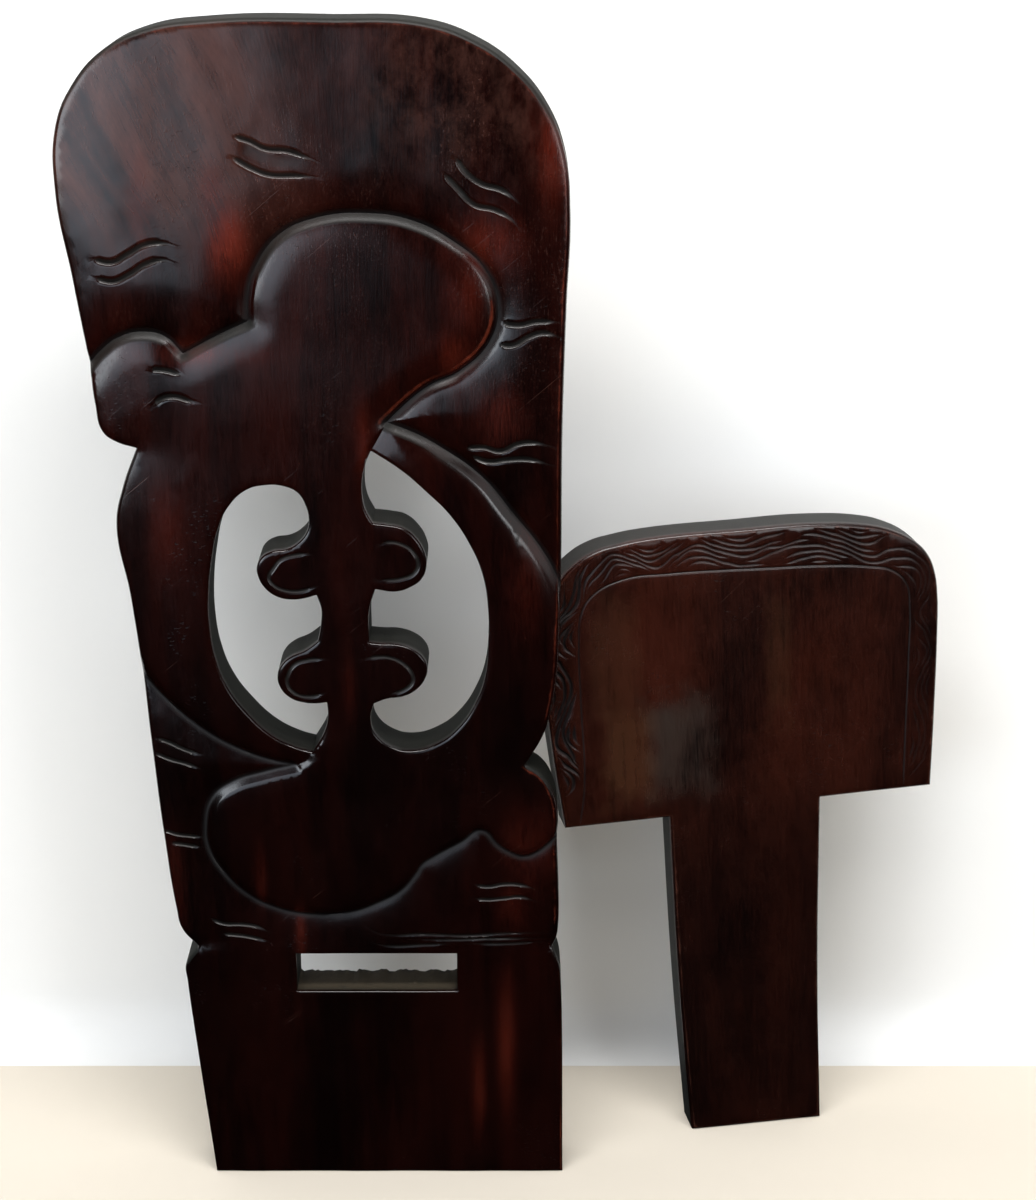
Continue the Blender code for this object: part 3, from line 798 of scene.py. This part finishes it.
def seat_outline():
    """The T of the seat board, its foot cut level while the board leans."""
    foot = TONGUE_FOOT_WIDTH / 2
    rise = foot * math.tan(SEAT_LEAN)
    shoulder = TONGUE_SHOULDER_WIDTH / 2
    left, right = TONGUE_OFFSET - shoulder, TONGUE_OFFSET + shoulder
    middle = TONGUE_LENGTH / 2
    return [
        (foot, -rise, CORNER), ((foot + right) / 2 - TONGUE_BOW, middle), (right, TONGUE_LENGTH, CORNER),
        *in_metres(SEAT_PANEL, TONGUE_LENGTH),
        (left, TONGUE_LENGTH, CORNER), ((left - foot) / 2 - TONGUE_BOW, middle), (-foot, rise, CORNER),
    ]


seat_rim = Drawing([drawn(seat_outline(), RIM_SPACING)], closed=True)
border_cut = cuts([BORDER], width=0.0022, depth=0.0008, start=0.02, end=0.02)
border = CutLines(border_cut)
print("rim of", len(seat_rim.points), "points and border of", len(border.points))

# %% The waves in the seat's border
WAVE_LENGTH = 0.083
WAVE_HEIGHT = 0.0072
WAVE_GAP = 0.0050
WAVE_LINES = 4
WAVE_HALF_WIDTH = 0.0013
WAVE_DEPTH = 0.0006
BORDER_MARGIN = 0.0030
RIM_MARGIN = 0.0040
LEFT_STRIP = 0.19
FEWEST_POINTS = 8


def wave_cut(line):
    """One line of the waves, with the half width and depth that suit its place."""
    along = np.linspace(0, 1, len(line))
    fade = between(np.minimum(along, 1 - along) * len(line), 0, FEWEST_POINTS)
    bold = between(-line[:, 0], 0.12, 0.15)
    faint = between(line[:, 0], 0.145, 0.155)
    deep = WAVE_DEPTH * (1 + 2.2 * bold) * (1 - 0.55 * faint)
    return line, WAVE_HALF_WIDTH * (1 + 0.4 * bold) * (0.4 + 0.6 * fade), deep * (0.1 + 0.9 * fade)


def wave_cuts():
    """The lines of the waves: where each one lies inside the band, it is cut."""
    path = border.points
    run = np.r_[0, np.cumsum(np.linalg.norm(np.diff(path, axis=0), axis=1))]
    room = seat_rim.distance(path)[0]
    outward = border.rows_beside(1.0) - path
    left = between(-path[:, 0], 0.125, 0.142)
    turn = 2 * math.pi * (run + 0.2 * np.minimum(run, LEFT_STRIP)) / WAVE_LENGTH
    turn += 0.9 * np.sin(run / 0.047 + 1.0)
    swing = WAVE_HEIGHT * (1 + 0.35 * np.sin(run / 0.041 + 2.0)) * (1 + 0.6 * left)
    made = []
    for step in range(-WAVE_LINES, WAVE_LINES + 1):
        unsteady = np.array([noise.noise((along / 0.022, step * 3.7, 0.0)) for along in run])
        crest = np.sin(turn + 0.14 * step + 0.5 * unsteady)
        away = room / 2 + swing * crest * np.abs(crest) ** 0.3 + WAVE_GAP * (step + 0.45 * unsteady)
        fits = (away > BORDER_MARGIN) & (away < room - RIM_MARGIN) & (unsteady > -0.42)
        starts = np.flatnonzero(np.diff(np.r_[0, fits.astype(int), 0]))
        for first, last in zip(starts[::2], starts[1::2]):
            if last - first > FEWEST_POINTS:
                made.append(wave_cut((path + outward * away[:, None])[first:last]))
    return made


seat_lines = CutLines(border_cut + wave_cuts())
print(len(seat_lines.paths), "lines are cut into the seat board")

# %% Making the seat board
SEAT_CUT_HALF = 0.0012
DARKEST_SEAT_CUT = 0.0008
GREY_PATCH = ((-0.058, 0.384), (0.034, 0.050))
# Middle, half size and strength of the rubbed brown patches
BROWN_PATCHES = [
    ((-0.104, 0.386), (0.024, 0.048), 0.45), ((-0.112, 0.470), (0.024, 0.060), 0.20),
    ((0.030, 0.450), (0.012, 0.060), 0.18),
]


def patch(spots, middle, half):
    """A rubbed patch with a ragged edge: 1 inside, 0 outside."""
    away = np.abs((spots - middle) / half).max(1)
    return between(1.2 - away + tooled(spots, 0.02, 0.30) + tooled(spots, 0.006, 0.15), 0, 0.75)


def seat_front(spots):
    rim_distance, _ = seat_rim.distance(spots)
    groove, beside = gouged(spots, seat_lines, slant=0.0)
    relief = groove + tooled(spots, 0.07, 0.0004) + quarter_round(rim_distance, SEAT_RIM_ROUND)
    wear = np.maximum(bell(rim_distance, 0.9 * SEAT_RIM_ROUND, 0.0016), 0.5 * bell(beside, 1.2, 0.3))
    # Painted shade: the cuts are darkened by their depth
    painted_shade = np.clip(groove / DARKEST_SEAT_CUT, 0, 1)
    grey = 0.8 * patch(spots, *GREY_PATCH)
    brown = np.maximum.reduce([most * patch(spots, middle, half) for middle, half, most in BROWN_PATCHES])
    return -SEAT_THICKNESS / 2 + relief, (wear, painted_shade, grey, np.zeros(len(spots)), brown)


front_rows = line_rows(seat_lines, SEAT_CUT_HALF) + rim_rows(seat_rim, SEAT_RIM_ROUND)
front_rows += plain_rows(seat_rim, FACE_PITCH)
back_rows = rim_rows(seat_rim, SEAT_RIM_ROUND) + plain_rows(seat_rim, BACK_PITCH)
seat_back = plain_back(seat_rim, np.full(len(seat_rim.points), SEAT_RIM_ROUND), SEAT_THICKNESS)
shape = carved_board(
    seat_rim, [seat_lines], front_rows, seat_front, seat_back, back_rows, lambda x, height: False
)
seat_foot = [mount for mount in frame["record"]["mounts"] if mount["name"] == "seat_foot"][0]["pos_m"]
seat_turn = (0, -SEAT_LEAN, SEAT_YAW)
seat_place = Matrix.Translation(seat_foot) @ Euler(seat_turn).to_matrix().to_4x4()
bmesh.ops.transform(shape, matrix=seat_place, verts=shape.verts)
seat_board = finished("carved_seat_board", shape)

# %% [markdown]
# ## A polished dark wood
#
# The wood is nearly black, with long mahogany-red streaks that run up the planks, fine pores, and a waxed
# satin gloss. Rims and shoulders are rubbed back to red. Shade is painted into the cuts, beside the figure
# and at its corners, and each board is painted darker towards its foot. Saw-cut walls, the rims and bevels
# that face up, and the cuts are dull, with a grey-green reflection painted on. A picture of wood would not
# follow the carving, so the finish is worked out in space: noise stretched along the grain gives the streaks,
# and the values that each corner carries tint the rest. A small class lets us write shader maths as ordinary
# expressions.

# %% Shader maths as expressions
class Wire:
    """A socket of a material. Arithmetic on it adds Math nodes, and node() adds any other node."""

    def __init__(self, tree, socket=None):
        self.tree = tree
        self.socket = socket

    def node(self, kind, sockets=None, output=0, **settings):
        made = self.tree.nodes.new(kind)
        for name, value in settings.items():
            setattr(made, name, value)
        for name, value in (sockets or {}).items():
            if isinstance(value, Wire):
                self.tree.links.new(value.socket, made.inputs[name])
            else:
                made.inputs[name].default_value = value
        return Wire(self.tree, made.outputs[output])

    def math(self, operation, first, second):
        return self.node("ShaderNodeMath", {0: first, 1: second}, operation=operation)

    def __add__(self, other):
        return self.math("ADD", self, other)

    def __mul__(self, other):
        return self.math("MULTIPLY", self, other)

    def __sub__(self, other):
        return self.math("SUBTRACT", self, other)

    def __rsub__(self, other):
        return self.math("SUBTRACT", other, self)

    __radd__ = __add__
    __rmul__ = __mul__

    def between(self, low, high):
        """0 below low, 1 above high, soft between."""
        ends = {"Value": self, "From Min": low, "From Max": high}
        return self.node("ShaderNodeMapRange", ends, interpolation_type="SMOOTHSTEP")

    def tint(self, under, over):
        """The colour under where this is 0, and over where it is 1."""
        return self.node("ShaderNodeMix", {0: self, 6: under, 7: over}, output=2, data_type="RGBA")


# %% The wood finish
def new_material(name):
    """A new material, the wire that builds its nodes, and its first shader."""
    material = bpy.data.materials.new(name)
    material.use_nodes = True
    return material, Wire(material.node_tree), material.node_tree.nodes["Principled BSDF"]


def mix_over(wire, shader, factor, over):
    """Lay another shader over a material's first one."""
    own = Wire(wire.tree, shader.outputs[0])
    mixed = wire.node("ShaderNodeMixShader", {0: factor, 1: own, 2: over})
    wire.tree.links.new(mixed.socket, wire.tree.nodes["Material Output"].inputs["Surface"])


def grain(wire, place, across, along, detail, roughness=0.55, distortion=0.0):
    """Noise whose pattern repeats so many times in a metre across and along the board."""
    stretched = wire.node("ShaderNodeMapping", {0: place, "Scale": (across, across, along)})
    sockets = {
        "Vector": stretched, "Scale": 1.0,
        "Detail": detail, "Roughness": roughness, "Distortion": distortion,
    }
    return wire.node("ShaderNodeTexNoise", sockets)


def dark_wood(name, at, turn, colours, gloss, matt, stretch, fan, shade):
    """Stained, waxed plank wood with its grain along the plank."""
    material, wire, shader = new_material(name)
    spot = wire.node("ShaderNodeTexCoord", output="Object")
    board = wire.node("ShaderNodeMapping", {0: spot, "Location": at, "Rotation": turn}, vector_type="TEXTURE")
    x, y, z = [wire.node("ShaderNodeSeparateXYZ", {0: board}, output=axis) for axis in "XYZ"]
    wear, painted_shade, tinge, dull_and_painted_grey, bare = [
        wire.node("ShaderNodeAttribute", output="Fac", attribute_name=value) for value in FINISH_VALUES
    ]
    # The grain leans outwards at the upper left of the board
    fanned = x.between(0.0, -0.2) * z.between(0.79, 0.90)
    leaning = wire.node("ShaderNodeCombineXYZ", {"X": x + fan * fanned * (z - 0.8), "Y": y, "Z": z})
    turned = wire.node("ShaderNodeMapping", {0: board, "Rotation": (0.0, 0.7, 0.0)})
    broad = grain(wire, leaning, *stretch, detail=3.0, distortion=0.4)
    fine = grain(wire, leaning, 190.0, 6.0, detail=3.0, roughness=0.6)
    fibre = grain(wire, leaning, 900.0, 55.0, detail=2.0, roughness=0.7)
    cloud = grain(wire, board, 10.0, 7.0, detail=5.0, roughness=0.6)
    rub = grain(wire, board, 70.0, 40.0, detail=5.0, roughness=0.7)
    pits = grain(wire, board, 260.0, 700.0, detail=2.0)
    flecks = grain(wire, board, 700.0, 260.0, detail=1.0)
    scratch = grain(wire, turned, 9.0, 900.0, detail=1.0)
    black, brown, red, worn, edge, bright, raw = colours
    streak = (broad + 0.10 * fine + 0.25 * fibre + 0.30 * rub + 0.40 * cloud).between(0.80, 1.40)
    flame = (0.6 * broad + 0.5 * cloud + 0.3 * fibre).between(0.48, 0.84)
    rubbed = (wear * (0.8 * rub + 0.6 * cloud)).between(0.46, 0.90)
    pit = pits.between(0.64, 0.70) * cloud.between(0.56, 0.66)
    fleck = flecks.between(0.60, 0.72) * cloud.between(0.44, 0.62) * z.between(0.45, 0.95)
    scuffed = fan * x.between(-0.05, 0.06) * z.between(0.85, 0.94)
    scratched = scratch.between(0.74, 0.78) * cloud.between(0.52, 0.60)
    layers = (
        (streak, red),
        (fan * fanned * 1.7 * streak, worn),
        # Painted shade: each board is darker towards its foot
        (0.5 - 0.5 * z.between(*shade), black),
        (tinge * flame, bright),
        (rubbed * 0.8, edge),
        # Painted shade in the cuts, beside the figure and at its corners, over the real dark pits
        ((painted_shade * 0.75 + pit * 0.8).between(0.0, 1.0), black),
        (fleck * (0.16 + 0.9 * scuffed) + 0.55 * scuffed * rub.between(0.35, 0.75), worn),
        (scratched * 0.30, worn),
        # Painted grey-green reflection on the dull walls, rims, bevels and cuts
        (dull_and_painted_grey * 0.85, DULL_GREY_REFLECTION_COLOUR),
        (bare * (0.7 * rub + 0.8 * fine).between(0.30, 0.75), raw),
    )
    colour = (fine * 0.3 + fibre * 0.5 + cloud * 0.6).between(0.45, 0.95).tint(black, brown)
    for share, over in layers:
        colour = share.tint(colour, over)
    rough = gloss + 0.12 * cloud + 0.08 * rub + 0.10 * fibre
    rough = rough + 0.35 * painted_shade + 0.2 * pit + 0.10 * tinge + 0.40 * dull_and_painted_grey
    height = 0.4 * fine + 0.35 * fibre + 0.6 * fleck - 0.9 * pit - 0.7 * scratched + (0.25 + 5.0 * dull_and_painted_grey) * rub
    relief = {"Height": height, "Strength": 0.16, "Distance": 0.0005}
    bump = wire.node("ShaderNodeBump", relief, output="Normal")
    for socket, value in (("Base Color", colour), ("Roughness", rough), ("Normal", bump)):
        wire.tree.links.new(value.socket, shader.inputs[socket])
    unwaxed = {"Base Color": colour, "Roughness": 0.9, "Specular IOR Level": 0.0}
    mix_over(wire, shader, matt * dull_and_painted_grey, wire.node("ShaderNodeBsdfPrincipled", unwaxed))
    print(name, "uses", len(wire.tree.nodes), "nodes")
    return material


# %% The woods of the two boards
# Grey-green of the dull parts, a painted reflection of the room
DULL_GREY_REFLECTION_COLOUR = (0.0075, 0.0085, 0.0068, 1)
# Black, brown, red, worn, edge, bright and raw wood
BACK_COLOURS = (
    (0.0010, 0.0002, 0.0002, 1), (0.0034, 0.0005, 0.0003, 1), (0.014, 0.0014, 0.0006, 1),
    (0.090, 0.036, 0.026, 1), (0.110, 0.018, 0.008, 1), (0.120, 0.011, 0.0035, 1), (0.036, 0.028, 0.018, 1),
)
SEAT_COLOURS = (
    (0.0022, 0.0005, 0.0004, 1), (0.010, 0.0017, 0.0008, 1), (0.030, 0.0046, 0.0016, 1),
    (0.080, 0.034, 0.024, 1), (0.080, 0.026, 0.016, 1), (0.021, 0.0155, 0.012, 1), (0.052, 0.020, 0.008, 1),
)
back_wood = dark_wood(
    "carved_back_wood", (0, 0, 0), (0, 0, 0), BACK_COLOURS,
    gloss=0.03, matt=0.65, stretch=(24.0, 3.4), fan=0.4, shade=(0.45, 0.75),
)
seat_wood = dark_wood(
    "seat_wood", seat_foot, seat_turn, SEAT_COLOURS,
    gloss=0.09, matt=0.10, stretch=(11.0, 3.0), fan=0.0, shade=(0.24, 0.36),
)

# %% Seating the boards on the frame
for piece, node, wood in ((back_board, "back_board", back_wood), (seat_board, "seat_board", seat_wood)):
    piece.data.materials.append(wood)
    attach(piece, node)
    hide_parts(node)

# %% [markdown]
# ## Floor, light and camera
#
# A pale floor meets a pale wall, so that the openings and the slot show bright. Dark polished wood shows
# what it mirrors, so the lights are large and soft. The panes of a tall window on the left fade towards the
# middle, and their reflection lies on the upper left of the back board. A wide overhead panel catches every
# edge that faces up. The camera stands a little above the boards and looks down on them.

# %% Floor and wall
WALL_DISTANCE = 0.21
COVE_RADIUS = 0.05
COVE_STEPS = 9
SHEET_HALF_WIDTH = 5.0
FLOOR_REACH = 4.0
WALL_HEIGHT = 4.0


def pale_sheet(name, start, moves, colour):
    """A straight edge swept along moves. It is clear from behind, so that the boards' backs can be seen."""
    shape = bmesh.new()
    ends = [shape.verts.new((x, *start)) for x in (-SHEET_HALF_WIDTH, SHEET_HALF_WIDTH)]
    edges = [shape.edges.new(ends)]
    for move in moves:
        edges, corners = extruded(shape, edges)
        bmesh.ops.translate(shape, verts=corners, vec=(0.0, *move))
    shape.normal_update()
    turned = [face for face in shape.faces if face.normal.z < face.normal.y]
    bmesh.ops.reverse_faces(shape, faces=turned)
    sheet = finished(name, shape)
    paint, wire, shader = new_material(name)
    shader.inputs["Base Color"].default_value = colour
    shader.inputs["Roughness"].default_value = 0.9
    behind = wire.node("ShaderNodeNewGeometry", output="Backfacing")
    mix_over(wire, shader, behind, wire.node("ShaderNodeBsdfTransparent"))
    sheet.data.materials.append(paint)
    return sheet


turns = np.linspace(0, math.pi / 2, COVE_STEPS)
cove = [(COVE_RADIUS * math.sin(turn), COVE_RADIUS * (1 - math.cos(turn))) for turn in turns]
wall_moves = [(ahead[0] - here[0], ahead[1] - here[1]) for here, ahead in zip(cove, cove[1:])]
wall_moves.append((0.0, WALL_HEIGHT))
floor_end = WALL_DISTANCE - COVE_RADIUS
pale_sheet("pale_wall", (floor_end, 0.0), wall_moves, (0.80, 0.80, 0.79, 1))
floor = pale_sheet("pale_floor", (-FLOOR_REACH, 0.0), [(FLOOR_REACH + floor_end, 0.0)], (0.66, 0.60, 0.51, 1))
floor.visible_glossy = False

# %% Lights
# Left and right end and brightness of the window's panes
PANES = ((-1.80, -0.80, 2.4), (-0.80, -0.50, 1.5), (-0.50, -0.20, 0.4))
PANE_HEIGHT = 1.6


def card(name, place, target, width, height, watts, colour):
    light = bpy.data.lights.new(name, "AREA")
    light.shape = "RECTANGLE"
    light.size, light.size_y = width, height
    light.energy, light.color = watts, colour
    lamp = bpy.data.objects.new(name, light)
    lamp.location = place
    lamp.rotation_euler = (Vector(target) - Vector(place)).to_track_quat("-Z", "Y").to_euler()
    scene.collection.objects.link(lamp)


card("overhead_panel", (0.1, -1.4, 2.5), (0.1, 0.0, 0.6), 2.2, 1.2, 34, (1.0, 0.98, 0.96))
for pane, (left, right, brightness) in enumerate(PANES):
    middle, width = (left + right) / 2, right - left
    watts = brightness * math.pi * width * PANE_HEIGHT
    place, target = (middle, -3.0, 0.90), (middle, 0.0, 0.90)
    card(f"window_pane_{pane}", place, target, width, PANE_HEIGHT, watts, (0.80, 0.91, 1.06))
card("bright_window", (-2.25, -2.9, 1.0), (0.0, 0.0, 0.7), 0.9, 1.6, 30, (0.86, 0.93, 1.0))
card("right_card", (2.6, -1.9, 1.5), (0.2, 0.0, 0.6), 3.0, 1.8, 16, (1.0, 1.0, 1.0))
card("right_window", (1.75, -2.6, 1.0), (0.1, 0.0, 0.7), 0.45, 1.1, 9, (0.95, 0.98, 1.0))
card("wall_wash", (0.1, -0.9, 2.4), (0.1, 0.3, 0.8), 2.4, 0.3, 50, (1.0, 1.0, 1.0))
world = bpy.data.worlds.new("soft_room_light")
world.use_nodes = True
scene.world = world
room_light = world.node_tree.nodes["Background"].inputs
room_light["Color"].default_value = (0.80, 0.86, 0.92, 1)
room_light["Strength"].default_value = 0.2
world.cycles_visibility.glossy = False
scene.view_settings.view_transform = "Standard"
print("the boards are lit by", len(bpy.data.lights), "cards")

# %% Camera
CAMERA_PLACE = (0.114, -1.8615, 1.19)
CAMERA_PITCH = math.radians(19.5)
lens = bpy.data.cameras.new("camera")
lens.sensor_fit = "VERTICAL"
lens.sensor_height = 36.0
lens.lens = 72.0
camera = bpy.data.objects.new("camera", lens)
camera.location = CAMERA_PLACE
camera.rotation_euler = (math.pi / 2 - CAMERA_PITCH, 0.0, 0.0)
scene.collection.objects.link(camera)
scene.camera = camera
print("camera looks down by", round(math.degrees(CAMERA_PITCH), 1), "degrees")
